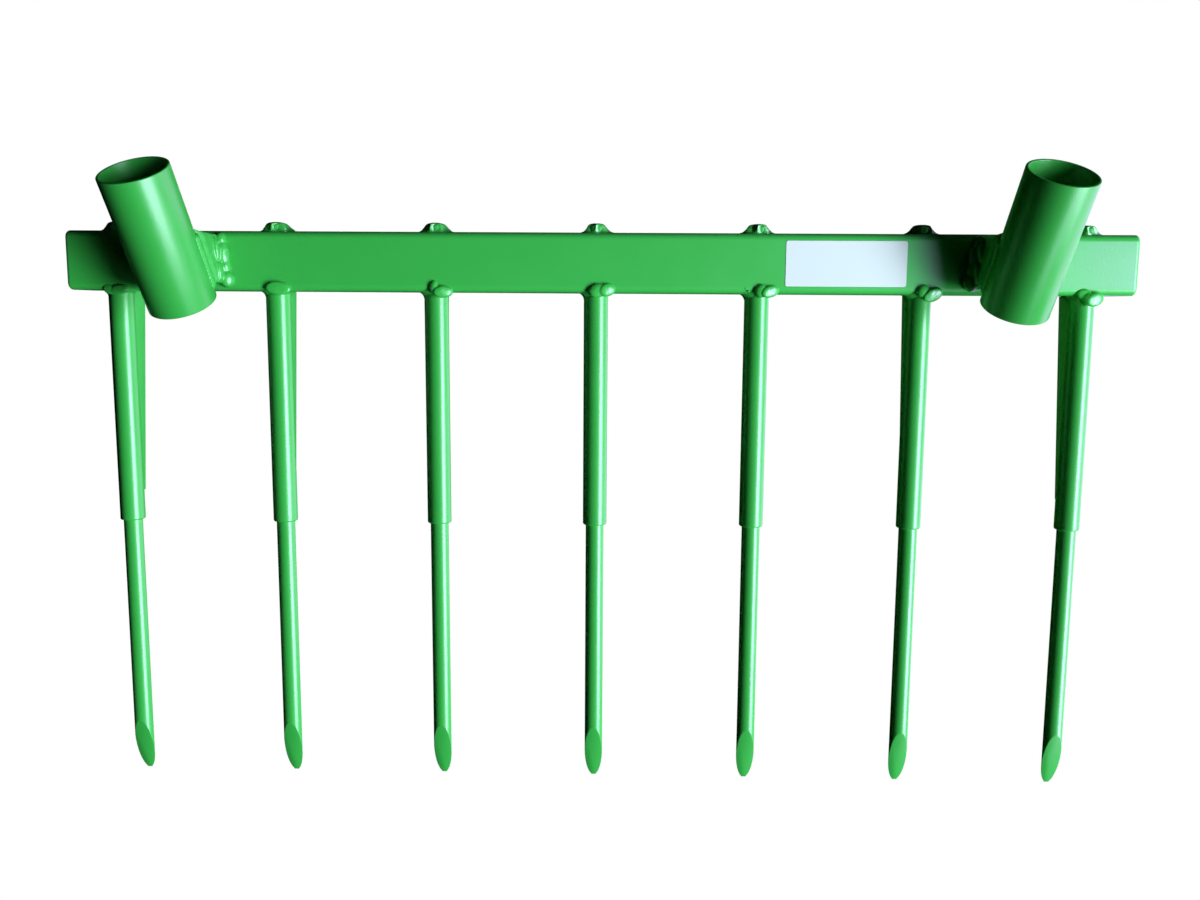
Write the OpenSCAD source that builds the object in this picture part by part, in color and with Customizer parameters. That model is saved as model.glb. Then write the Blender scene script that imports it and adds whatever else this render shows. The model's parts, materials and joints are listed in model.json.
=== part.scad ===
// Broadfork head: a square beam with a row of straight tines and two leaning sockets for wooden handles.
// The tine points stand on Z = 0, X runs along the beam, and the sockets lean outwards and towards -Y.

/* [Beam] */
// Height and depth of the square tube
beam_size = 40; // [36:1:60]
// Wall thickness of the square tube
beam_wall = 2.5; // [1.5:0.5:4]
// Outside corner radius of the square tube
beam_corner = 5; // [4.5:0.5:8]
// From the outer tine's axis to the end of the beam
beam_end = 32; // [26:1:60]
// Thickness of each end cap
cap_t = 3; // [2:0.5:6]
// Rounding of an end cap's outer edges, at most its thickness
cap_round = 2.5; // [0.5:0.5:6]

/* [Tines] */
// Number of tines
tine_count = 7; // [5:1:9]
// Distance between neighbouring tines
tine_pitch = 109; // [100:1:140]
// From the underside of the beam down to the tine points
tine_reach = 347; // [280:1:420]
// Distance of the tines' axes behind the front of the beam
tine_setback = 11; // [9:0.5:14]
// Diameter of the tine rods
rod_d = 12.5; // [10:0.5:16]
// Height of a rod's upper end above the beam
rod_proud = 5.5; // [3:0.5:9]
// Height of the bevel that sharpens a tine
bevel_l = 40; // [20:1:60]
// Width of the blunt edge left at a tine point
point_flat = 0.4; // [0.3:0.1:3]

/* [Sleeves and gussets] */
// Radial clearance of a rod in its sleeve and in the beam
rod_gap = 0.1; // [0.05:0.05:0.3]
// Wall thickness of a sleeve
sleeve_wall = 1.9; // [1.5:0.1:4]
// Length of a sleeve below the beam
sleeve_l = 160; // [100:1:220]
// Rounding of a sleeve's lower edge
sleeve_round = 1.2; // [0.4:0.1:1.4]
// Thickness of a gusset plate
gusset_t = 8; // [4:0.5:12]
// How far a gusset's top is set in from the rear of the beam
gusset_inset = 1; // [0:0.5:5]
// How far above the sleeve's lower end a gusset stops
gusset_stop = 19; // [8:1:60]
// Depth of a gusset's lower end behind its sleeve
gusset_foot = 5; // [2:0.5:12]

/* [Handle sockets] */
// Outside diameter of a socket
socket_d = 44; // [36:0.1:52]
// Wall thickness of a socket
socket_wall = 2; // [1.5:0.5:4]
// Length of a socket
socket_l = 92; // [75:1:130]
// How far a socket's axis lies outside the middle of the two outer tines
socket_shift = 2.5; // [-5:0.5:5]
// Lean of the sockets towards the front
socket_fwd = 29; // [15:1:40]
// Lean of the sockets away from the middle
socket_out = 6; // [0:1:12]
// How far a socket runs on past the lower edge of the beam that it rests against
socket_tail = 0.5; // [0.5:0.5:5]
// Clearance between a socket and that edge
socket_gap = 0.1; // [0.05:0.05:0.3]

/* [Welds] */
// How far the weld beside a socket stands outside the tube
side_leg = 2.5; // [1:0.5:5]
// Thickness of a fillet weld at its outer edge
weld_toe = 0.4; // [0.2:0.1:0.8]
// Width of a fillet weld's flat crest
weld_crest = 0.9; // [0.4:0.1:2]
// Height of the weld round a sleeve under the beam
collar_h = 5.5; // [4:0.5:9]
// Length of the weld nugget at the front of a sleeve
nugget_l = 18; // [14:1:24]
// Height of that nugget
nugget_h = 10; // [7:1:12]
// How far that nugget stands in front of the beam
nugget_proud = 1.8; // [1:0.2:3]
// Offset of that nugget along the beam
nugget_shift = 3.5; // [-4:0.5:4]

/* [Label] */
// Width of the blank label
label_w = 80; // [40:1:90]
// Thickness of the label
label_t = 0.3; // [0.1:0.1:0.5]
// Corner radius of the label
label_corner = 1.5; // [0.5:0.5:4]
// Distance between the label and the weld of the right socket
label_gap = 44; // [10:1:50]

/* [Hidden] */
$fn = 64;
paint = [0.20, 0.63, 0.29];
label_white = [0.93, 0.94, 0.95];
past = 1;

half = beam_size / 2;
flat = half - beam_corner;
cap_edge = min(cap_round, cap_t);
beam_l = (tine_count - 1) * tine_pitch + 2 * beam_end;
tube_l = beam_l - 2 * cap_t;
beam_z = tine_reach + half;

tine_forward = half - tine_setback;
rod_r = rod_d / 2;
hole_r = rod_r + rod_gap;
sleeve_r = hole_r + sleeve_wall;
gusset_l = sleeve_l - gusset_stop;
gusset_top = half - gusset_inset + tine_forward;

// The sockets touch the rounded lower front edge of the beam, between the two outer tines.
socket_r = socket_d / 2;
socket_x = (tine_count / 2 - 1) * tine_pitch + socket_shift;
side_lean = atan2(sin(socket_fwd), cos(socket_fwd) * cos(socket_out));
side_share = norm([sin(socket_fwd), cos(socket_fwd) * cos(socket_out)]);
socket_y = -flat - (beam_corner + socket_gap + socket_r + flat * sin(side_lean)) / cos(side_lean);
seat_y = -flat - beam_corner * cos(side_lean);
seat_z = -flat - beam_corner * sin(side_lean);
socket_low = (seat_z * cos(side_lean) - (seat_y - socket_y) * sin(side_lean)) / side_share - socket_tail;
socket_top = socket_low + socket_l;

// The box that holds the whole head is centred on Y = 0.
front_reach = socket_top * sin(socket_fwd) + socket_r * cos(socket_fwd) - socket_y;
beam_y = (front_reach - half) / 2;

// Welds over the beam's edges end where its corner has turned by half a right angle.
edge_y = flat + beam_corner * sin(45);
label_h = 2 * flat;
label_x = socket_x - socket_r - side_leg - label_gap - label_w / 2;

FIXED_PARTS = ["beam", "end_cap_left", "end_cap_right", "handle_socket_left", "handle_socket_right",
    "socket_weld_left", "socket_weld_right", "label"];
TINE_PARTS = ["tine", "tine_sleeve", "tine_gusset", "top_weld", "bottom_weld"];

// Places its children in the beam's frame, whose origin is the middle of the beam
module at_beam() {
    translate([0, beam_y, beam_z]) children();
}

// Places its children on the axis of tine i, level with the middle of the beam
module at_tine(i) {
    at_beam() translate([(i - (tine_count + 1) / 2) * tine_pitch, -tine_forward, 0]) children();
}

// Places its children on a socket's axis, with Z along the axis and Y towards the beam
module at_socket(side) {
    at_beam() translate([side * socket_x, socket_y, 0])
        rotate([socket_fwd, side * socket_out, 0]) children();
}

// Extrudes a shape drawn in Y and Z along X
module along_x(length) {
    rotate([90, 0, 90]) linear_extrude(length, center = true) children();
}

module rounded_rectangle(w, h, corner) {
    square([w, h - 2 * corner], center = true);
    square([w - 2 * corner, h], center = true);
    for (x = [-1, 1], y = [-1, 1]) translate([x * (w / 2 - corner), y * (h / 2 - corner)]) circle(corner);
}

module beam_outside(length) {
    at_beam() along_x(length) rounded_rectangle(beam_size, beam_size, beam_corner);
}

module beam() {
    inside = beam_size - 2 * beam_wall;
    color(paint) difference() {
        beam_outside(tube_l);
        at_beam() along_x(tube_l + 2 * past) rounded_rectangle(inside, inside, beam_corner - beam_wall);
        for (i = [1:tine_count])
            at_tine(i) cylinder(r = hole_r, h = beam_size + 2 * past, center = true);
    }
}

// Side view of an end cap, flat where it meets the tube and rounded at its outer edges
module cap_profile() {
    intersection() {
        translate([0, -half]) square([cap_t, beam_size]);
        translate([cap_t - half, 0]) rounded_rectangle(beam_size, beam_size, cap_edge);
    }
}

module end_cap(side) {
    color(paint) intersection() {
        beam_outside(beam_l);
        at_beam() translate([side * tube_l / 2, 0, 0]) mirror([side < 0 ? 1 : 0, 0, 0]) intersection() {
            rotate([90, 0, 0]) linear_extrude(beam_size, center = true) cap_profile();
            linear_extrude(beam_size, center = true) cap_profile();
        }
    }
}

module socket_outside(side) {
    at_socket(side) translate([0, 0, socket_low]) cylinder(r = socket_r, h = socket_l);
}

module handle_socket(side) {
    color(paint) difference() {
        socket_outside(side);
        at_socket(side) translate([0, 0, socket_low - past])
            cylinder(r = socket_r - socket_wall, h = socket_l + 2 * past);
    }
}

// Weld metal that fills the wedge between the back of a socket and the front of the beam
module socket_weld(side) {
    start_turn = 20;
    toe_turn = 40;
    toe_x = socket_r + side_leg;
    outline = [[socket_r * cos(start_turn), socket_r * sin(start_turn)],
        [toe_x, socket_r * sin(toe_turn)], [toe_x, front_reach]];
    mirrored = [for (k = [2:-1:0]) [-outline[k].x, outline[k].y]];
    color(paint) difference() {
        intersection() {
            at_socket(side) translate([0, 0, socket_low])
                linear_extrude(socket_l) polygon(concat(outline, mirrored));
            at_beam() translate([side * socket_x - 2 * socket_d, -front_reach, -flat])
                cube([4 * socket_d, front_reach - flat, half + flat - weld_toe]);
        }
        socket_outside(side);
        beam_outside(beam_l);
    }
}

module tine(i) {
    slope = bevel_l / (rod_d - point_flat);
    color(paint) at_tine(i) translate([0, 0, -half - tine_reach]) difference() {
        cylinder(r = rod_r, h = tine_reach + beam_size + rod_proud);
        along_x(rod_d + 2 * past) polygon([[rod_r - point_flat + past, -slope * past],
            [-rod_r - past, bevel_l + slope * past], [-rod_r - past, -slope * past]]);
    }
}

module tine_sleeve(i) {
    color(paint) at_tine(i) translate([0, 0, -half - sleeve_l]) rotate_extrude() {
        translate([hole_r, sleeve_round]) square([sleeve_wall, sleeve_l - sleeve_round]);
        translate([hole_r, 0]) square([sleeve_wall - sleeve_round, sleeve_l]);
        translate([sleeve_r - sleeve_round, sleeve_round]) circle(sleeve_round);
    }
}

module tine_gusset(i) {
    foot = sleeve_r + gusset_foot;
    color(paint) at_tine(i) translate([0, 0, -half]) difference() {
        along_x(gusset_t) polygon([[0, 0], [gusset_top, 0], [foot, -gusset_l], [0, -gusset_l]]);
        translate([0, 0, -sleeve_l]) cylinder(r = sleeve_r, h = sleeve_l + past);
    }
}

// Disc of fillet weld with a hollow flank round a rod or sleeve, standing on Z = 0 and going on below it
module fillet_disc(inner, height) {
    flank = height - weld_toe;
    outer = inner + weld_crest + flank;
    rotate_extrude() difference() {
        translate([0, -beam_corner]) square([outer, height + beam_corner]);
        translate([outer, height]) circle(flank);
    }
}

// Everything behind the line where the beam's front corner has turned by half a right angle
module behind_front_edge() {
    width = beam_size + 2 * tine_pitch;
    translate([-width / 2, tine_forward - edge_y, -width / 2]) cube(width);
}

module top_weld(i) {
    color(paint) difference() {
        at_tine(i) intersection() {
            translate([0, 0, half]) fillet_disc(rod_r, rod_proud);
            behind_front_edge();
        }
        beam_outside(beam_l);
        at_tine(i) cylinder(r = rod_r, h = beam_size + rod_proud);
    }
}

// Pad with a lens-shaped outline and a rounded front, which touches the origin from its +Y side
module nugget() {
    arc = (pow(nugget_l, 2) + pow(nugget_h, 2)) / (4 * nugget_h);
    bulge = 0.6 * nugget_h;
    intersection() {
        rotate([90, 0, 0]) linear_extrude(2 * bulge + 2 * past, center = true) intersection() {
            translate([0, nugget_h / 2 - arc]) circle(arc);
            translate([0, arc - nugget_h / 2]) circle(arc);
        }
        translate([0, bulge, 0]) rotate([0, 90, 0])
            cylinder(r = bulge, h = nugget_l + 2 * past, center = true);
    }
}

module bottom_weld(i) {
    corner_mid = flat + beam_corner / 2;
    color(paint) difference() {
        at_tine(i) {
            intersection() {
                translate([0, 0, -half]) mirror([0, 0, 1]) fillet_disc(sleeve_r, collar_h);
                behind_front_edge();
            }
            translate([nugget_shift, tine_forward - half - nugget_proud, -corner_mid]) nugget();
        }
        beam_outside(beam_l);
        at_tine(i) {
            translate([0, 0, -half - sleeve_l]) cylinder(r = sleeve_r, h = sleeve_l);
            translate([-gusset_t / 2, 0, -half - sleeve_l]) cube([gusset_t, beam_size, sleeve_l]);
        }
    }
}

module label() {
    color(label_white) at_beam() translate([label_x, -half - label_t / 2, 0]) rotate([90, 0, 0])
        linear_extrude(label_t, center = true) rounded_rectangle(label_w, label_h, label_corner);
}

beam();
end_cap(-1);  // end_cap_left
end_cap(1);  // end_cap_right
handle_socket(-1);  // handle_socket_left
handle_socket(1);  // handle_socket_right
socket_weld(-1);  // socket_weld_left
socket_weld(1);  // socket_weld_right
label();
for (i = [1:tine_count]) {
    tine(i);
    tine_sleeve(i);
    tine_gusset(i);
    top_weld(i);
    bottom_weld(i);
}
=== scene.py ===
"""Looks of a welded broadfork head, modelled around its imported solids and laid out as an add-on."""

import json
import math
import random

import bmesh
import bpy
from bpy.props import FloatProperty, FloatVectorProperty, IntProperty, PointerProperty
from mathutils import Matrix, Vector, noise


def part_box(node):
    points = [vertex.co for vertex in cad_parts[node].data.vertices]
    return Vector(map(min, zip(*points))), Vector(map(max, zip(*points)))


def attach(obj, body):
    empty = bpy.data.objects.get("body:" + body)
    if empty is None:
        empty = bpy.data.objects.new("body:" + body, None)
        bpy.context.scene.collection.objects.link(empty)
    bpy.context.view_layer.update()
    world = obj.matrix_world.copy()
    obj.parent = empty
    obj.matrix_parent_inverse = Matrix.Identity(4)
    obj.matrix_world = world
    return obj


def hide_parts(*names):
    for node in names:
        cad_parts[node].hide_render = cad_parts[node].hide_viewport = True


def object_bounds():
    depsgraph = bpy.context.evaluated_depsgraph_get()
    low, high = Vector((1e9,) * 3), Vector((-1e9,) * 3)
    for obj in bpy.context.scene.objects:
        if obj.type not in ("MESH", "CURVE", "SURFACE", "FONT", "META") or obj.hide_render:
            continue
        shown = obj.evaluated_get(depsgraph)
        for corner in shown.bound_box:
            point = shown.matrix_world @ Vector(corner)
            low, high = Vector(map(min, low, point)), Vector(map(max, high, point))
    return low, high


bl_info = {
    "name": "Broadfork Head",
    "version": (1, 0, 0),
    "blender": (4, 5, 0),
    "location": "3D View > Sidebar > Broadfork",
    "description": "Models the painted tubes, tines and welds of a broadfork head",
    "category": "Object",
}

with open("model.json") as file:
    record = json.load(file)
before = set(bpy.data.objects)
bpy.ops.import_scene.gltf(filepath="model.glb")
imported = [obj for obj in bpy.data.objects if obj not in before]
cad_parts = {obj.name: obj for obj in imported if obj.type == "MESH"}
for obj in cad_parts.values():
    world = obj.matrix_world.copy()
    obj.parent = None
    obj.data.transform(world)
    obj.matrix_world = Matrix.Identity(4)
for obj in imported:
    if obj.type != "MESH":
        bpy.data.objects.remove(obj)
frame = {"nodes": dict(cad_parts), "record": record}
CAD_LOW, CAD_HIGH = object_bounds()
MM = 0.001
CLOSE = 0.01 * MM
SIDES = ("left", "right")
PHOTO_WIDTH = 1200
PHOTO_SENSOR = 36.0

NODES = frame["nodes"]
TINES = sorted(
    int(name.split("_")[1]) for name in NODES if name.startswith("tine_") and name.count("_") == 1)
BEAM_LOW, BEAM_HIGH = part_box("beam")
BEAM_MID = (BEAM_LOW + BEAM_HIGH) / 2
SOCKETS = {mount["name"].split("_")[0]: mount for mount in frame["record"]["mounts"]}


class BroadforkSizes(bpy.types.PropertyGroup):
    """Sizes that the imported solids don't state by themselves"""

    beam_corner: FloatProperty(
        name="Beam corner", description="Outside corner radius of the square tube",
        default=5 * MM, min=MM, max=10 * MM, unit="LENGTH")
    plate_round: FloatProperty(
        name="End plate round", description="Rounding of the end plates' outer edges",
        default=2.5 * MM, min=0.2 * MM, max=2.9 * MM, unit="LENGTH")
    socket_wall: FloatProperty(
        name="Socket wall", description="Wall thickness of the handle sockets",
        default=2 * MM, min=MM, max=5 * MM, unit="LENGTH")
    rim_round: FloatProperty(
        name="Rim round", description="Rounding of the sockets' rims under the paint",
        default=0.6 * MM, min=0.1 * MM, max=0.9 * MM, unit="LENGTH")
    bevel_length: FloatProperty(
        name="Tine bevel", description="Height of the bevel that sharpens a tine",
        default=40 * MM, min=15 * MM, max=60 * MM, unit="LENGTH")
    point_flat: FloatProperty(
        name="Tine point", description="Width of the blunt edge left at a tine's point",
        default=0.15 * MM, min=0.1 * MM, max=4 * MM, unit="LENGTH")
    crown_round: FloatProperty(
        name="Tine crown", description="Rounding of a tine's upper end",
        default=2 * MM, min=0.2 * MM, max=5 * MM, unit="LENGTH")
    sleeve_round: FloatProperty(
        name="Sleeve round", description="Rounding of a sleeve's lower edge",
        default=1.2 * MM, min=0.2 * MM, max=1.6 * MM, unit="LENGTH")
    gusset_foot: FloatProperty(
        name="Gusset foot", description="Depth of a gusset's lower end behind its sleeve",
        default=5 * MM, min=MM, max=15 * MM, unit="LENGTH")
    edge_round: FloatProperty(
        name="Edge round", description="Rounding that the paint gives to cut edges",
        default=0.5 * MM, min=0.1 * MM, max=2 * MM, unit="LENGTH")
    label_corner: FloatProperty(
        name="Label corner", description="Corner radius of the blank label",
        default=1.5 * MM, min=0.2 * MM, max=5 * MM, unit="LENGTH")
    fillet_width: FloatProperty(
        name="Fillet width", description="Width of the weld round a sleeve, on the underside of the beam",
        default=4.5 * MM, min=MM, max=10 * MM, unit="LENGTH")
    fillet_height: FloatProperty(
        name="Fillet height", description="Height of the weld round a sleeve, along the sleeve",
        default=5.5 * MM, min=MM, max=10 * MM, unit="LENGTH")
    weld_grain: FloatProperty(
        name="Weld grain", description="Mesh size of the weld beads",
        default=0.42 * MM, min=0.3 * MM, max=2 * MM, unit="LENGTH")
    weld_ripple: FloatProperty(
        name="Weld ripple", description="Height of the small waves on the weld beads",
        default=0.14 * MM, min=0, max=MM, unit="LENGTH")
    round_steps: IntProperty(
        name="Round steps", description="Steps of a full turn on round pieces",
        default=96, min=24, max=256)


class BroadforkPaint(bpy.types.PropertyGroup):
    """Colours and finish of the powder coat and the label"""

    green: FloatVectorProperty(
        name="Paint", description="Colour of the powder coat",
        subtype="COLOR", size=3, default=(0.0475, 0.442, 0.0625), min=0, max=1)
    deep_green: FloatVectorProperty(
        name="Deep paint", description="Colour of the faint darker clouds in the coat",
        subtype="COLOR", size=3, default=(0.0445, 0.420, 0.0590), min=0, max=1)
    roughness: FloatProperty(
        name="Roughness", description="Roughness of the powder coat",
        default=0.34, min=0, max=1, subtype="FACTOR")
    peel_size: FloatProperty(
        name="Peel size", description="Width of the waves in the coat's surface",
        default=1.3 * MM, min=0.2 * MM, max=10 * MM, unit="LENGTH")
    peel_height: FloatProperty(
        name="Peel height", description="Height of the waves in the coat's surface",
        default=0.05 * MM, min=0, max=0.5 * MM, unit="LENGTH")
    label_white: FloatVectorProperty(
        name="Label", description="Colour of the blank label",
        subtype="COLOR", size=3, default=(0.826, 0.778, 0.759), min=0, max=1)


class BroadforkStage(bpy.types.PropertyGroup):
    """Camera, lights and backdrop"""

    camera_place: FloatVectorProperty(
        name="Camera", description="Place of the camera from the middle of the beam",
        subtype="TRANSLATION", size=3, default=(0.0216, -0.7313, -0.0318), unit="LENGTH")
    camera_yaw: FloatProperty(
        name="Yaw", description="Turn of the camera to the right",
        default=math.radians(-1.44), subtype="ANGLE")
    camera_pitch: FloatProperty(
        name="Pitch", description="Tilt of the camera upwards",
        default=math.radians(-7.56), subtype="ANGLE")
    camera_roll: FloatProperty(
        name="Roll", description="Turn of the camera about its view",
        default=math.radians(0.37), subtype="ANGLE")
    focal_px: FloatProperty(
        name="Focal length", description="Focal length in pixels of the photograph",
        default=1050, subtype="PIXEL")
    window_colour: FloatVectorProperty(
        name="Window light", description="Colour of the main light",
        subtype="COLOR", size=3, default=(0.66, 0.88, 1.0), min=0, max=1)
    sheen_colour: FloatVectorProperty(
        name="Sheen light", description="Colour of the strip that shines on the beam",
        subtype="COLOR", size=3, default=(0.58, 0.36, 1.0), min=0, max=1)
    wall_colour: FloatVectorProperty(
        name="Wall light", description="Colour of the light from the right",
        subtype="COLOR", size=3, default=(0.70, 0.40, 1.0), min=0, max=1)
    window_watts: FloatProperty(
        name="Window power", description="Power of the main light", default=206, min=0, unit="POWER")
    ambient: FloatProperty(
        name="Ambient", description="Level of the light from all round", default=0.003, min=0, max=1)
    floor_drop: FloatProperty(
        name="Floor drop", description="Depth of the floor below the tine points",
        default=2.8, min=0.01, max=3, unit="LENGTH")


class Shade:
    """A shader socket that takes part in Python sums, with any other node one call away."""

    def __init__(self, tree, socket=None):
        self.tree = tree
        self.socket = socket

    def node(self, kind, settings=None, inputs=None, output=0):
        """Adds a node of this type with its settings and socket values or links, and gives one output."""
        made = self.tree.nodes.new(kind)
        for name, value in (settings or {}).items():
            setattr(made, name, value)
        for key, value in (inputs or {}).items():
            if isinstance(value, Shade):
                self.tree.links.new(value.socket, made.inputs[key])
            else:
                made.inputs[key].default_value = value
        return Shade(self.tree, made.outputs[output]) if len(made.outputs) else None

    def math(self, operation, first, second):
        return self.node("ShaderNodeMath", {"operation": operation}, {0: first, 1: second})

    def __add__(self, other):
        return self.math("ADD", self, other)

    def __radd__(self, other):
        return self.math("ADD", other, self)

    def __sub__(self, other):
        return self.math("SUBTRACT", self, other)

    def __rsub__(self, other):
        return self.math("SUBTRACT", other, self)

    def __mul__(self, other):
        return self.math("MULTIPLY", self, other)

    def __rmul__(self, other):
        return self.math("MULTIPLY", other, self)


def sizes():
    return bpy.context.scene.broadfork_sizes


def paint():
    return bpy.context.scene.broadfork_paint


def stage():
    return bpy.context.scene.broadfork_stage


def rgba(colour):
    return (*colour, 1.0)


def new_material(name):
    """An empty material and the start of its node graph."""
    material = bpy.data.materials.new(name)
    material.use_nodes = True
    material.node_tree.nodes.clear()
    return material, Shade(material.node_tree)


def powder_coat():
    """Satin green powder coat with faint clouds and the fine waves of a sprayed coat."""
    name = "green powder coat"
    if name in bpy.data.materials:
        return bpy.data.materials[name]
    look = paint()
    material, graph = new_material(name)
    place = graph.node("ShaderNodeTexCoord", output="Object")
    clouds = graph.node(
        "ShaderNodeTexNoise", inputs={"Vector": place, "Scale": 55.0, "Detail": 3.0}, output="Fac")
    peel = graph.node("ShaderNodeTexNoise", inputs={
        "Vector": place, "Scale": 1 / look.peel_size, "Detail": 2.0, "Roughness": 0.6}, output="Fac")
    colour = graph.node(
        "ShaderNodeMix", {"data_type": "RGBA"},
        {"Factor": clouds, 6: rgba(look.deep_green), 7: rgba(look.green)}, output=2)
    bump = graph.node("ShaderNodeBump", inputs={
        "Height": peel, "Strength": 1.0, "Distance": look.peel_height}, output="Normal")
    coat = graph.node("ShaderNodeBsdfPrincipled", inputs={
        "Base Color": colour, "Roughness": look.roughness + 0.10 * (clouds - 0.5), "Normal": bump,
        "Specular IOR Level": 0.8})
    graph.node("ShaderNodeOutputMaterial", inputs={"Surface": coat})
    return material


def label_vinyl():
    """Smooth white vinyl of the blank label."""
    name = "white vinyl"
    if name in bpy.data.materials:
        return bpy.data.materials[name]
    material, graph = new_material(name)
    place = graph.node("ShaderNodeTexCoord", output="Object")
    grain = graph.node(
        "ShaderNodeTexNoise", inputs={"Vector": place, "Scale": 400.0, "Detail": 2.0}, output="Fac")
    vinyl = graph.node("ShaderNodeBsdfPrincipled", inputs={
        "Base Color": rgba(paint().label_white), "Roughness": 0.38 + 0.06 * grain,
        "Specular IOR Level": 0.45})
    graph.node("ShaderNodeOutputMaterial", inputs={"Surface": vinyl})
    return material


def bevel(bm, edges, width, segments):
    """Rounds these edges."""
    bmesh.ops.bevel(
        bm, geom=edges, offset=width, affect="EDGES", segments=segments, profile=0.5, material=-1)


def box_bmesh(low, high):
    """A box between two corners."""
    bm = bmesh.new()
    middle, size = (low + high) / 2, high - low
    bmesh.ops.create_cube(bm, size=1, matrix=Matrix.Translation(middle) @ Matrix.Diagonal(size.to_4d()))
    return bm


def edges_along(bm, axis):
    """The straight edges that run along one axis."""
    return [e for e in bm.edges if abs((e.verts[1].co - e.verts[0].co).normalized()[axis]) > 0.999]


def edges_at(bm, axis, place):
    """The edges that lie at one place of an axis."""
    return [e for e in bm.edges if all(abs(v.co[axis] - place) < CLOSE for v in e.verts)]


def ring_bmesh(profile, steps):
    """A ring about Z from a closed outline of (radius, height) points."""
    bm = bmesh.new()
    verts = [bm.verts.new((radius, 0, height)) for radius, height in profile]
    edges = [bm.edges.new((verts[k - 1], verts[k])) for k in range(len(verts))]
    bmesh.ops.spin(
        bm, geom=verts + edges, cent=(0, 0, 0), axis=(0, 0, 1), dvec=(0, 0, 0), angle=math.tau,
        steps=steps, use_merge=True)
    bmesh.ops.recalc_face_normals(bm, faces=bm.faces)
    return bm


def rounded_corner(radius, centre, start, turn, steps):
    """Points of an arc in (radius, height), for an outline's rounded corner."""
    return [(centre[0] + radius * math.cos(start + turn * k / steps),
             centre[1] + radius * math.sin(start + turn * k / steps)) for k in range(steps + 1)]


def place_piece(name, bm, material, nodes, sharp=35):
    """Makes an object of a finished mesh, smooth up to the sharp angle, and ties it to its solids."""
    mesh = bpy.data.meshes.new(name)
    bm.to_mesh(mesh)
    bm.free()
    mesh.shade_smooth()
    mesh.set_sharp_from_angle(angle=math.radians(sharp))
    mesh.materials.append(material)
    piece = bpy.data.objects.new(name, mesh)
    bpy.context.scene.collection.objects.link(piece)
    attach(piece, "root")
    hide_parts(*nodes)
    return piece


def tine_axis(i):
    """The middle of a tine's rod, seen from above."""
    low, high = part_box(f"tine_{i}")
    return (low.x + high.x) / 2, (low.y + high.y) / 2


def socket_matrix(side):
    """The frame of a socket, from the middle of its mouth: Z out of the mouth, X along the beam."""
    mount = SOCKETS[side]
    z = Vector(mount["axis"]).normalized()
    x = Vector((1, 0, 0)) - z * z.x
    x.normalize()
    y = z.cross(x)
    turn = Matrix((x, y, z)).transposed().to_4x4()
    return Matrix.Translation(Vector(mount["pos_m"])) @ turn


def socket_radii(side):
    """The inside and outside radius of a socket."""
    inner = SOCKETS[side]["dims"]["r_mm"] * MM
    return inner, inner + sizes().socket_wall


def axis_at(side, height):
    """The point of a socket's axis at a height."""
    mount = SOCKETS[side]
    start, along = Vector(mount["pos_m"]), Vector(mount["axis"])
    return start + along * ((height - start.z) / along.z)


def fillet_ring(inner, width, height, steps):
    """A weld fillet with a hollow flank round a tube, standing on Z = 0 and going on below it."""
    lap, root, flank_steps = 1 * MM, 4 * MM, 6
    turns = [math.pi / 2 * k / flank_steps for k in range(flank_steps + 1)]
    hollow = [(inner + width * (1 - math.sin(turn)), height * (1 - math.cos(turn))) for turn in turns]
    return ring_bmesh([(inner - lap, -root), (inner + width, -root), *hollow, (inner - lap, height)], steps)


def add_lobe(bm, place, size, tilt=0, turn=0, nod=0, roundness=1.0):
    """Adds a lobe of weld metal: an ellipsoid with a more or less flat front.

    It is tilted about Y, then nods down and turns to the right, all in degrees.
    """
    made = bmesh.ops.create_icosphere(bm, subdivisions=4, radius=1)
    for vert in made["verts"]:
        vert.co.y = math.copysign(abs(vert.co.y) ** roundness, vert.co.y)
    turned = (Matrix.Rotation(math.radians(turn), 4, "Z") @ Matrix.Rotation(math.radians(nod), 4, "X")
              @ Matrix.Rotation(math.radians(tilt), 4, "Y"))
    spot = Matrix.Translation(place) @ turned @ Matrix.Diagonal(Vector(size).to_4d())
    bmesh.ops.transform(bm, matrix=spot, verts=made["verts"])


def fuse(bm, smoothing, grain):
    """Melts overlapping closed shapes into one skin, as weld metal does, and gives it small waves."""
    long_wave, short_wave, short_share = 4 * MM, 1.7 * MM, 0.5
    mesh = bpy.data.meshes.new("weld metal")
    bm.to_mesh(mesh)
    bm.free()
    lump = bpy.data.objects.new("weld metal", mesh)
    bpy.context.scene.collection.objects.link(lump)
    melt = lump.modifiers.new("melt", "REMESH")
    melt.mode = "VOXEL"
    melt.voxel_size = grain
    melted = bpy.data.meshes.new_from_object(lump.evaluated_get(bpy.context.evaluated_depsgraph_get()))
    fused = bmesh.new()
    fused.from_mesh(melted)
    bpy.data.objects.remove(lump)
    bpy.data.meshes.remove(mesh)
    bpy.data.meshes.remove(melted)
    for _ in range(smoothing):
        bmesh.ops.smooth_vert(
            fused, verts=fused.verts, factor=0.5, use_axis_x=True, use_axis_y=True, use_axis_z=True)
    fused.normal_update()
    for vert in fused.verts:
        wave = noise.noise(vert.co / long_wave) + short_share * noise.noise(vert.co / short_wave)
        vert.co += vert.normal * (sizes().weld_ripple * wave)
    return fused


def solid_copy(node):
    """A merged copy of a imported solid's mesh."""
    bm = bmesh.new()
    bm.from_mesh(NODES[node].data)
    bmesh.ops.remove_doubles(bm, verts=bm.verts, dist=0.001 * MM)
    return bm


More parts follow.
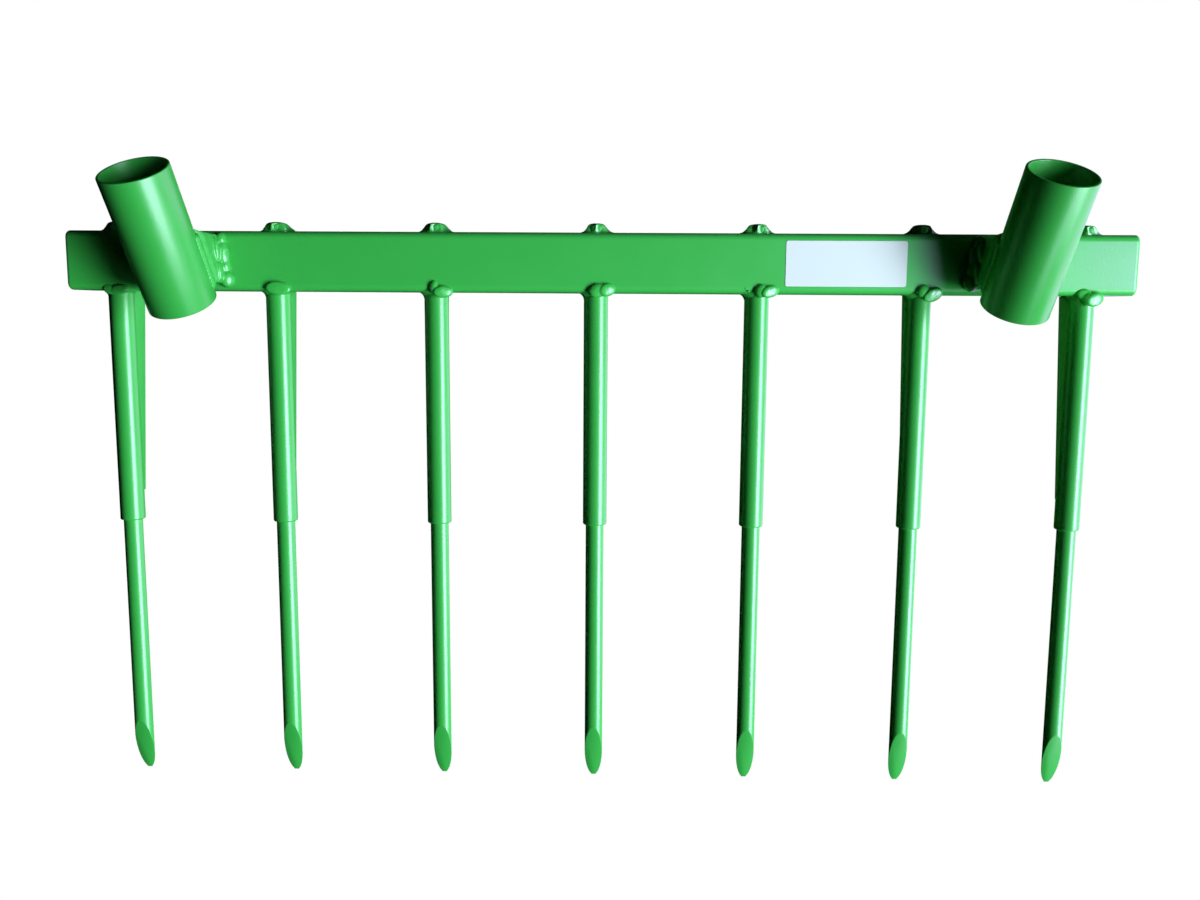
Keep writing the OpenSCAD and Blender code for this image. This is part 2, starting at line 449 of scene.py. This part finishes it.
class BROADFORK_OT_beam(bpy.types.Operator):
    """Model the square tube and the plates that close its ends"""

    bl_idname = "broadfork.beam"
    bl_label = "Beam"

    def execute(self, context):
        look = sizes()
        bm = box_bmesh(BEAM_LOW, BEAM_HIGH)
        bevel(bm, edges_along(bm, 0), look.beam_corner, segments=12)
        place_piece("square_tube", bm, powder_coat(), ["beam"])
        for side in SIDES:
            low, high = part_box(f"end_cap_{side}")
            outer = low.x if side == "left" else high.x
            bm = box_bmesh(low, high)
            bevel(bm, edges_along(bm, 0), look.beam_corner, segments=12)
            bevel(bm, edges_at(bm, 0, outer), look.plate_round, segments=8)
            place_piece(f"end_plate_{side}", bm, powder_coat(), [f"end_cap_{side}"])
        return {"FINISHED"}


class BROADFORK_OT_sockets(bpy.types.Operator):
    """Model the two open tubes that take the handles"""

    bl_idname = "broadfork.sockets"
    bl_label = "Handle sockets"

    def execute(self, context):
        lip = sizes().rim_round
        quarter = math.pi / 2
        for side in SIDES:
            inner, outer = socket_radii(side)
            length = SOCKETS[side]["dims"]["length_mm"] * MM
            profile = [
                *rounded_corner(lip, (outer - lip, -lip), 0, quarter, steps=4),
                *rounded_corner(lip, (inner + lip, -lip), quarter, quarter, steps=4),
                *rounded_corner(lip, (inner + lip, lip - length), math.pi, quarter, steps=4),
                *rounded_corner(lip, (outer - lip, lip - length), -quarter, quarter, steps=4),
            ]
            bm = ring_bmesh(profile, sizes().round_steps)
            bmesh.ops.transform(bm, matrix=socket_matrix(side), verts=bm.verts)
            place_piece(f"socket_tube_{side}", bm, powder_coat(), [f"handle_socket_{side}"])
        return {"FINISHED"}


# Lobes of the weld between a socket and the beam, in millimetres: above the middle of the beam, outside
# the socket's tube, in front of the beam, half sizes across, deep and high, then in degrees a tilt in the
# face and a turn outwards, and how round the lobe's front is.
SOCKET_LOBES = (
    (12.0, 1.8, 1.0, 4.2, 4.8, 7.0, 14, 16, 0.7), (4.0, 2.4, 1.4, 4.2, 5.0, 9.0, -3, 36, 0.5),
    (-4.6, 2.4, 1.0, 4.2, 4.8, 8.0, 3, 20, 0.7), (-12.4, 3.0, 1.2, 4.8, 5.2, 5.6, -6, 36, 0.5),
    (7.0, 1.2, 8.5, 2.6, 3.6, 8.0, -6, 24, 0.8), (-7.0, 1.2, 7.5, 2.4, 3.4, 7.0, -6, 10, 0.8),
)

# The seam along each flank of a socket: its angle behind the flank, the number of its lobes, the height of
# the lowest one above the underside of the beam and the step between them in millimetres, and a lobe's half
# sizes.
SEAM_ANGLE = math.radians(22)
SEAM_COUNT, SEAM_FOOT, SEAM_STEP = 13, 4, 2.3
SEAM_LOBE = (2.8 * MM, 3.4 * MM, 4.0 * MM)

# The solid weld is drawn in before the lobes go on: the share of its overhang that goes, how far inside the
# tube's flank and below the top of the beam that begins, and the distance from the tube over which its top
# comes to sink.
WELD_DRAW = 0.4
WELD_FLANK, WELD_SHOULDER, WELD_FADE = 1.2 * MM, 6 * MM, 3 * MM


class BROADFORK_OT_socket_welds(bpy.types.Operator):
    """Model the weld beads between the sockets and the beam"""

    bl_idname = "broadfork.socket_welds"
    bl_label = "Socket welds"

    def execute(self, context):
        grain = sizes().weld_grain
        for side in SIDES:
            radius = socket_radii(side)[1]
            bm = fuse(solid_copy(f"socket_weld_{side}"), smoothing=6, grain=2 * grain)
            for vert in bm.verts:
                mid = axis_at(side, vert.co.z)
                out = vert.co.x - mid.x
                vert.co.x -= math.copysign(max(0.0, WELD_DRAW * (abs(out) - radius + WELD_FLANK)), out)
                away = max(0.0, (vert.co.xy - mid.xy).length - radius)
                sink = max(0.0, WELD_DRAW * (vert.co.z - BEAM_HIGH.z + WELD_SHOULDER))
                vert.co.z -= sink * (1 - math.exp(-away / WELD_FADE))
            for flank in (-1, 1):
                for k in range(SEAM_COUNT):
                    height = BEAM_LOW.z + (SEAM_FOOT + SEAM_STEP * k) * MM
                    mid = axis_at(side, height)
                    across = mid.x + flank * radius * math.cos(SEAM_ANGLE)
                    add_lobe(bm, (across, mid.y + radius * math.sin(SEAM_ANGLE), height), SEAM_LOBE)
                for rise, out, ahead, wide, deep, tall, tilt, turn, roundness in SOCKET_LOBES:
                    height = BEAM_MID.z + rise * MM
                    across = axis_at(side, height).x + flank * (radius + out * MM)
                    place = (across, BEAM_LOW.y - ahead * MM, height)
                    add_lobe(bm, place, (wide * MM, deep * MM, tall * MM), tilt, flank * turn, 0, roundness)
            bm = fuse(bm, smoothing=3, grain=grain)
            place_piece(f"socket_bead_{side}", bm, powder_coat(), [f"socket_weld_{side}"], sharp=60)
        return {"FINISHED"}


class BROADFORK_OT_tines(bpy.types.Operator):
    """Model the round rods with their bevelled points"""

    bl_idname = "broadfork.tines"
    bl_label = "Tines"

    def execute(self, context):
        look = sizes()
        for i in TINES:
            low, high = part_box(f"tine_{i}")
            x, y = tine_axis(i)
            radius = (high.x - low.x) / 2
            bm = bmesh.new()
            bmesh.ops.create_cone(
                bm, cap_ends=True, segments=look.round_steps, radius1=radius, radius2=radius,
                depth=high.z - low.z, matrix=Matrix.Translation((x, y, (low.z + high.z) / 2)))
            bevel(bm, edges_at(bm, 2, high.z), look.crown_round, segments=4)
            width = 2 * radius - look.point_flat
            face = Vector((0, -look.bevel_length, -width)).normalized()
            bmesh.ops.bisect_plane(
                bm, geom=bm.verts[:] + bm.edges[:] + bm.faces[:],
                plane_co=(x, y - radius, low.z + look.bevel_length), plane_no=face, clear_outer=True)
            filled = bmesh.ops.holes_fill(bm, edges=[e for e in bm.edges if e.is_boundary], sides=0)
            # The bevel's rim is rounded but for its lowest edge, which stays sharp.
            point = low.z + 0.5 * MM
            rim = {e for f in filled["faces"] for e in f.edges if min(v.co.z for v in e.verts) > point}
            bevel(bm, list(rim), 0.7 * look.edge_round, segments=2)
            place_piece(f"tine_rod_{i}", bm, powder_coat(), [f"tine_{i}"])
        return {"FINISHED"}


class BROADFORK_OT_sleeves(bpy.types.Operator):
    """Model the thicker tubes round the upper part of the tines"""

    bl_idname = "broadfork.sleeves"
    bl_label = "Tine sleeves"

    def execute(self, context):
        lip = sizes().sleeve_round
        for i in TINES:
            low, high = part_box(f"tine_sleeve_{i}")
            rod_low, rod_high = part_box(f"tine_{i}")
            outer = (high.x - low.x) / 2
            inner = (rod_high.x - rod_low.x) / 2
            profile = [
                (inner, high.z), (outer, high.z),
                *rounded_corner(lip, (outer - lip, low.z + lip), 0, -math.pi / 2, steps=6),
                (inner, low.z),
            ]
            bm = ring_bmesh(profile, sizes().round_steps)
            bmesh.ops.translate(bm, vec=(*tine_axis(i), 0), verts=bm.verts)
            place_piece(f"sleeve_tube_{i}", bm, powder_coat(), [f"tine_sleeve_{i}"])
        return {"FINISHED"}


class BROADFORK_OT_gussets(bpy.types.Operator):
    """Model the tapered plates behind the sleeves"""

    bl_idname = "broadfork.gussets"
    bl_label = "Tine gussets"

    def execute(self, context):
        look = sizes()
        for i in TINES:
            low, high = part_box(f"tine_gusset_{i}")
            front = tine_axis(i)[1]
            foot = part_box(f"tine_sleeve_{i}")[1].y + look.gusset_foot
            bm = bmesh.new()
            outline = [(front, high.z), (high.y, high.z), (foot, low.z), (front, low.z)]
            plate = bm.faces.new([bm.verts.new((low.x, y, z)) for y, z in outline])
            raised = bmesh.ops.extrude_face_region(bm, geom=[plate])
            moved = [v for v in raised["geom"] if isinstance(v, bmesh.types.BMVert)]
            bmesh.ops.translate(bm, vec=(high.x - low.x, 0, 0), verts=moved)
            bmesh.ops.recalc_face_normals(bm, faces=bm.faces)
            bevel(bm, bm.edges[:], look.edge_round, segments=3)
            place_piece(f"gusset_plate_{i}", bm, powder_coat(), [f"tine_gusset_{i}"])
        return {"FINISHED"}


# Outline of the welds on top of the beam, in millimetres from the rod's axis and above the beam, the stretch
# of each weld to the left and to the right, and the welds that stand clear of the sockets.
TOP_OUTLINE = (
    (0, -4), (13, -4), (13, -0.2), (11.6, 0.4), (9.7, 1.1), (8.4, 2.1), (7.4, 3.1), (6.6, 4.2), (5.6, 5.3),
    (4.5, 6.0), (2.6, 6.4), (0, 6.5),
)
TOP_STRETCH = {
    1: (1, 1), 2: (0.95, 1.25), 3: (1, 1.05), 4: (0.95, 1.05), 5: (1.1, 1.0), 6: (1.05, 1.05), 7: (1, 1),
}
CLEAR_TOPS = (2, 3, 4, 5, 7)

# Folds of the top welds: their number, the range of their depth as a share of the radius, where the first
# one starts as a share of a turn, how far that and the folds' lean stray, and the height that they climb.
FOLD_COUNT = 12
FOLD_DEPTH = (0.08, 0.17)
FOLD_START, FOLD_STRAY = 0.117, 0.03
FOLD_TOP = 6.2 * MM

# The top welds are steeper in front: the reach that stays there, and the share that goes of what is past it.
FRONT_REACH, FRONT_STEEP = 5.8 * MM, 0.9


class BROADFORK_OT_top_welds(bpy.types.Operator):
    """Model the welds round the rods' upper ends"""

    bl_idname = "broadfork.top_welds"
    bl_label = "Top welds"

    def execute(self, context):
        outline = [(radius * MM, height * MM) for radius, height in TOP_OUTLINE]
        for i in TINES:
            dice = random.Random(i)
            folds = [(-1) ** k * dice.uniform(*FOLD_DEPTH) for k in range(FOLD_COUNT)]
            start = FOLD_START + dice.uniform(-FOLD_STRAY, FOLD_STRAY)
            lean = dice.uniform(-FOLD_STRAY, FOLD_STRAY)
            bm = ring_bmesh(outline, sizes().round_steps)
            bmesh.ops.remove_doubles(bm, verts=bm.verts, dist=CLOSE)
            bmesh.ops.recalc_face_normals(bm, faces=bm.faces)
            for vert in bm.verts:
                rise = min(1.0, max(0.0, vert.co.z / FOLD_TOP))
                turn = (math.atan2(vert.co.y, vert.co.x) / math.tau + start + lean * rise) % 1 * FOLD_COUNT
                k = int(turn) % FOLD_COUNT
                fold = folds[k] + (folds[(k + 1) % FOLD_COUNT] - folds[k]) * (turn - int(turn))
                reach = vert.co.xy.length
                front = max(0.0, -vert.co.y) / max(reach, MM)
                steep = FRONT_STEEP * front * max(0.0, reach - FRONT_REACH) / max(reach, MM)
                # The folds set in quickly above the beam and grow faint again near the crown.
                vert.co.xy *= 1 - steep + fold * min(1.0, 3 * rise, 4 * (1.1 - rise))
                vert.co.x *= TOP_STRETCH[i][vert.co.x > 0]
            bmesh.ops.translate(bm, vec=(*tine_axis(i), BEAM_HIGH.z), verts=bm.verts)
            place_piece(f"top_bead_{i}", bm, powder_coat(), [f"top_weld_{i}"], sharp=22)
        return {"FINISHED"}


# Lobes of the welds under the beam, in millimetres: right of the tine, behind the front of the beam, above
# its underside, half sizes across, deep and high, then in degrees a tilt in the face, a turn to the right
# and a nod, and how round the lobe's front is.
BOTTOM_LOBES = {
    1: [(-3.0, 1.8, 0.8, 5.0, 2.6, 3.6, 15, 0, 0, 0.8), (4.0, 1.4, 0.6, 6.0, 2.8, 3.4, -5, 0, 0, 0.4)],
    2: [(3.9, 0.2, 1.8, 8.2, 3.4, 4.6, 4, 6, 0, 0.35)],
    3: [(0.4, 0.6, 3.0, 3.1, 3.6, 4.8, 0, 0, 0, 0.8), (6.3, 0.2, 0.2, 6.7, 3.4, 4.1, 0, 18, 6, 0.5)],
    4: [(1.5, 0.4, 1.6, 6.2, 3.8, 4.8, -12, 8, 0, 0.6), (7.6, 0.2, 2.0, 5.8, 3.2, 4.4, -12, 20, 0, 0.5),
        (-9.8, 0.2, 6.5, 0.5, 0.5, 0.5, 0, 0, 0, 1)],
    5: [(1.6, 0.6, 2.0, 4.4, 3.8, 4.8, 0, 0, 0, 0.8), (7.4, 0.0, 1.6, 6.6, 2.9, 4.0, -14, 21, 5, 0.4),
        (-8.6, 0.3, 3.4, 0.7, 0.8, 0.7, 0, 0, 0, 1), (-6.8, 0.4, 1.6, 0.8, 0.8, 0.9, 0, 0, 0, 1),
        (-8.2, 0.8, 0.2, 0.6, 0.7, 0.6, 0, 0, 0, 1)],
    6: [(0.0, 0.6, 2.4, 4.6, 3.8, 4.6, 0, 0, 0, 0.8), (6.0, -0.4, 0.2, 6.6, 2.9, 4.5, -24, 10, 20, 0.25)],
    7: [(-2.8, 1.2, 1.0, 5.0, 2.8, 4.0, 10, 0, 0, 0.8), (-0.8, 0.3, -2.2, 3.4, 3.8, 4.6, 10, 0, 0, 0.8),
        (3.4, -0.5, -2.4, 6.3, 3.0, 4.6, -14, 12, 5, 0.4)],
}

# How much narrower the weld round a sleeve is on its right and in front.
FILLET_RIGHT, FILLET_FRONT = 0.88, 0.84


class BROADFORK_OT_bottom_welds(bpy.types.Operator):
    """Model the welds where the sleeves meet the underside of the beam"""

    bl_idname = "broadfork.bottom_welds"
    bl_label = "Bottom welds"

    def execute(self, context):
        look = sizes()
        for i in TINES:
            x = tine_axis(i)[0]
            low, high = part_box(f"tine_sleeve_{i}")
            bm = fillet_ring((high.x - low.x) / 2, look.fillet_width, look.fillet_height, look.round_steps)
            for vert in bm.verts:
                if vert.co.x > 0:
                    vert.co.x *= FILLET_RIGHT
                if vert.co.y < 0:
                    vert.co.y *= FILLET_FRONT
            under = Matrix.Translation((*tine_axis(i), BEAM_LOW.z)) @ Matrix.Diagonal((1, 1, -1, 1))
            bmesh.ops.transform(bm, matrix=under, verts=bm.verts)
            bmesh.ops.recalc_face_normals(bm, faces=bm.faces)
            for across, back, above, wide, deep, tall, tilt, turn, nod, roundness in BOTTOM_LOBES[i]:
                place = Vector((x + across * MM, BEAM_LOW.y + back * MM, BEAM_LOW.z + above * MM))
                add_lobe(bm, place, (wide * MM, deep * MM, tall * MM), tilt, turn, nod, roundness)
            bm = fuse(bm, smoothing=1, grain=look.weld_grain)
            place_piece(f"bottom_bead_{i}", bm, powder_coat(), [f"bottom_weld_{i}"], sharp=60)
        return {"FINISHED"}


class BROADFORK_OT_label(bpy.types.Operator):
    """Model the blank label on the front of the beam"""

    bl_idname = "broadfork.label"
    bl_label = "Label"

    def execute(self, context):
        low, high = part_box("label")
        bm = box_bmesh(low, high)
        bevel(bm, edges_along(bm, 1), sizes().label_corner, segments=8)
        place_piece("blank_label", bm, label_vinyl(), ["label"])
        return {"FINISHED"}


def photo_camera(look):
    """The camera that sees the head as the photograph does."""
    camera = bpy.data.cameras.new("camera")
    camera.sensor_width = PHOTO_SENSOR
    camera.lens = look.focal_px * PHOTO_SENSOR / PHOTO_WIDTH
    camera.clip_start = 0.01
    holder = bpy.data.objects.new("camera", camera)
    turn = Matrix.Rotation(-look.camera_yaw, 4, "Z")
    tilt = Matrix.Rotation(math.pi / 2 + look.camera_pitch, 4, "X")
    roll = Matrix.Rotation(look.camera_roll, 4, "Z")
    holder.matrix_world = Matrix.Translation(BEAM_MID + Vector(look.camera_place)) @ turn @ tilt @ roll
    bpy.context.scene.collection.objects.link(holder)
    bpy.context.scene.camera = holder


def white_world(level):
    """A world that lights the head dimly and evenly and shows white behind it."""
    world = bpy.data.worlds.new("white room")
    bpy.context.scene.world = world
    world.use_nodes = True
    world.node_tree.nodes.clear()
    graph = Shade(world.node_tree)
    seen = graph.node("ShaderNodeLightPath", output="Is Camera Ray")
    through = graph.node("ShaderNodeLightPath", output="Is Transmission Ray")
    dim = graph.node("ShaderNodeBackground", inputs={"Color": rgba((1, 1, 1)), "Strength": level})
    white = graph.node("ShaderNodeBackground", inputs={"Color": rgba((1, 1, 1)), "Strength": 1.0})
    both = graph.node("ShaderNodeMixShader", inputs={0: seen + through, 1: dim, 2: white})
    graph.node("ShaderNodeOutputWorld", inputs={"Surface": both})


def pale_floor(drop):
    """A wide floor far below the head, white to the camera and nearly black to the light on the paint."""
    bm = bmesh.new()
    bmesh.ops.create_grid(bm, x_segments=1, y_segments=1, size=12)
    bmesh.ops.translate(bm, vec=(0, 0, CAD_LOW.z - drop), verts=bm.verts)
    mesh = bpy.data.meshes.new("floor")
    bm.to_mesh(mesh)
    bm.free()
    material, graph = new_material("pale floor")
    seen = graph.node("ShaderNodeLightPath", output="Is Camera Ray")
    matt = graph.node("ShaderNodeBsdfDiffuse", inputs={"Color": rgba((0.015, 0.015, 0.015))})
    glow = graph.node("ShaderNodeEmission", inputs={"Color": rgba((1, 1, 1)), "Strength": 1.0})
    lit = graph.node("ShaderNodeAddShader", inputs={0: matt, 1: glow})
    total = graph.node("ShaderNodeMixShader", inputs={0: seen, 1: matt, 2: lit})
    graph.node("ShaderNodeOutputMaterial", inputs={"Surface": total})
    mesh.materials.append(material)
    floor = bpy.data.objects.new("floor", mesh)
    bpy.context.scene.collection.objects.link(floor)


def soft_box(name, azimuth, elevation, distance, size, watts, colour, aim=(CAD_LOW + CAD_HIGH) / 2):
    """A rectangular lamp that faces a point of the head.

    Its azimuth is in degrees to the right of the front, and its distance and size are in metres.
    """
    lamp = bpy.data.lights.new(name, "AREA")
    lamp.shape = "RECTANGLE"
    lamp.size, lamp.size_y = size
    lamp.energy = watts
    lamp.color = colour
    az, el = math.radians(azimuth), math.radians(elevation)
    away = Vector((math.sin(az) * math.cos(el), -math.cos(az) * math.cos(el), math.sin(el)))
    holder = bpy.data.objects.new(name, lamp)
    holder.location = aim + distance * away
    holder.rotation_euler = away.to_track_quat("Z", "Y").to_euler()
    holder.visible_camera = False
    bpy.context.scene.collection.objects.link(holder)
    return holder


def shine_on(holder, pieces, spare=False):
    """Lets a lamp light only these pieces, or all the others where it spares them."""
    lit = bpy.data.collections.new(holder.name)
    for name in pieces:
        lit.objects.link(bpy.data.objects[name])
    for member in lit.collection_objects:
        member.light_linking.link_state = "EXCLUDE" if spare else "INCLUDE"
    holder.light_linking.receiver_collection = lit


def studio_lamps(look):
    """The windows, the wall and the strip that light the head, some of them only for some pieces."""
    tines = [f"{name}_{i}" for i in TINES for name in ("tine_rod", "sleeve_tube", "gusset_plate")]
    sockets = [f"socket_tube_{side}" for side in SIDES]
    power, glass = look.window_watts, look.window_colour
    window = soft_box(
        "window", azimuth=51.5, elevation=-11, distance=3.2, size=(0.95, 2.1), watts=power, colour=glass)
    shine_on(window, tines + sockets, spare=True)
    far = soft_box(
        "far window", azimuth=59, elevation=-11, distance=5, size=(1.85, 3.28), watts=2.45 * power,
        colour=glass)
    shine_on(far, tines)
    wide = soft_box(
        "wide window", azimuth=57, elevation=-11, distance=5, size=(3.0, 3.28), watts=2.2 * power,
        colour=glass)
    shine_on(wide, sockets)
    high = soft_box(
        "high window", azimuth=45, elevation=24, distance=3.2, size=(1.2, 1.2), watts=150, colour=glass)
    high.visible_diffuse = False
    shine_on(high, [f"top_bead_{i}" for i in CLEAR_TOPS])
    soft_box(
        "low window", azimuth=47.5, elevation=-33.5, distance=1.95, size=(0.4, 1.05), watts=7, colour=glass)
    soft_box(
        "side wall", azimuth=118, elevation=0, distance=1.6, size=(2.0, 1.6), watts=25,
        colour=look.wall_colour)
    back = soft_box(
        "back light", azimuth=180, elevation=20, distance=2.2, size=(0.4, 0.6), watts=22, colour=(1, 1, 1))
    back.visible_glossy = False
    strip = soft_box(
        "beam sheen", azimuth=30, elevation=2.6, distance=2.2, size=(0.3, 0.9), watts=0.72,
        colour=look.sheen_colour, aim=Vector((BEAM_HIGH.x, BEAM_LOW.y, BEAM_MID.z)))
    strip.data.spread = math.radians(30)
    shine_on(strip, ["square_tube", "end_plate_right"])


class BROADFORK_OT_stage(bpy.types.Operator):
    """Set up the camera, the lights and the white surroundings"""

    bl_idname = "broadfork.stage"
    bl_label = "Stage"

    def execute(self, context):
        look = stage()
        photo_camera(look)
        context.scene.view_settings.view_transform = "Standard"
        white_world(look.ambient)
        pale_floor(look.floor_drop)
        studio_lamps(look)
        # The white label would throw a pale glow on the sockets and the welds beside it.
        label = bpy.data.objects["blank_label"]
        label.visible_glossy = label.visible_diffuse = False
        return {"FINISHED"}


class BROADFORK_PT_panel(bpy.types.Panel):
    """Lists the head's pieces and their settings"""

    bl_idname = "BROADFORK_PT_panel"
    bl_label = "Broadfork Head"
    bl_space_type = "VIEW_3D"
    bl_region_type = "UI"
    bl_category = "Broadfork"

    def draw(self, context):
        for group in (sizes(), paint(), stage()):
            box = self.layout.box()
            for name in group.__annotations__:
                box.prop(group, name)
        for operator in PIECE_OPERATORS:
            self.layout.operator(operator.bl_idname)


PIECE_OPERATORS = (
    BROADFORK_OT_beam, BROADFORK_OT_sockets, BROADFORK_OT_socket_welds, BROADFORK_OT_tines,
    BROADFORK_OT_sleeves, BROADFORK_OT_gussets, BROADFORK_OT_top_welds, BROADFORK_OT_bottom_welds,
    BROADFORK_OT_label, BROADFORK_OT_stage,
)
GROUPS = {
    "broadfork_sizes": BroadforkSizes,
    "broadfork_paint": BroadforkPaint,
    "broadfork_stage": BroadforkStage,
}


def register():
    for cls in (*GROUPS.values(), *PIECE_OPERATORS, BROADFORK_PT_panel):
        bpy.utils.register_class(cls)
    for name, group in GROUPS.items():
        setattr(bpy.types.Scene, name, PointerProperty(type=group))


def unregister():
    for name in GROUPS:
        delattr(bpy.types.Scene, name)
    for cls in (BROADFORK_PT_panel, *reversed(PIECE_OPERATORS), *GROUPS.values()):
        bpy.utils.unregister_class(cls)


def main():
    register()
    bpy.ops.broadfork.beam()
    bpy.ops.broadfork.sockets()
    bpy.ops.broadfork.socket_welds()
    bpy.ops.broadfork.tines()
    bpy.ops.broadfork.sleeves()
    bpy.ops.broadfork.gussets()
    bpy.ops.broadfork.top_welds()
    bpy.ops.broadfork.bottom_welds()
    bpy.ops.broadfork.label()
    bpy.ops.broadfork.stage()


if __name__ == "__main__":
    main()
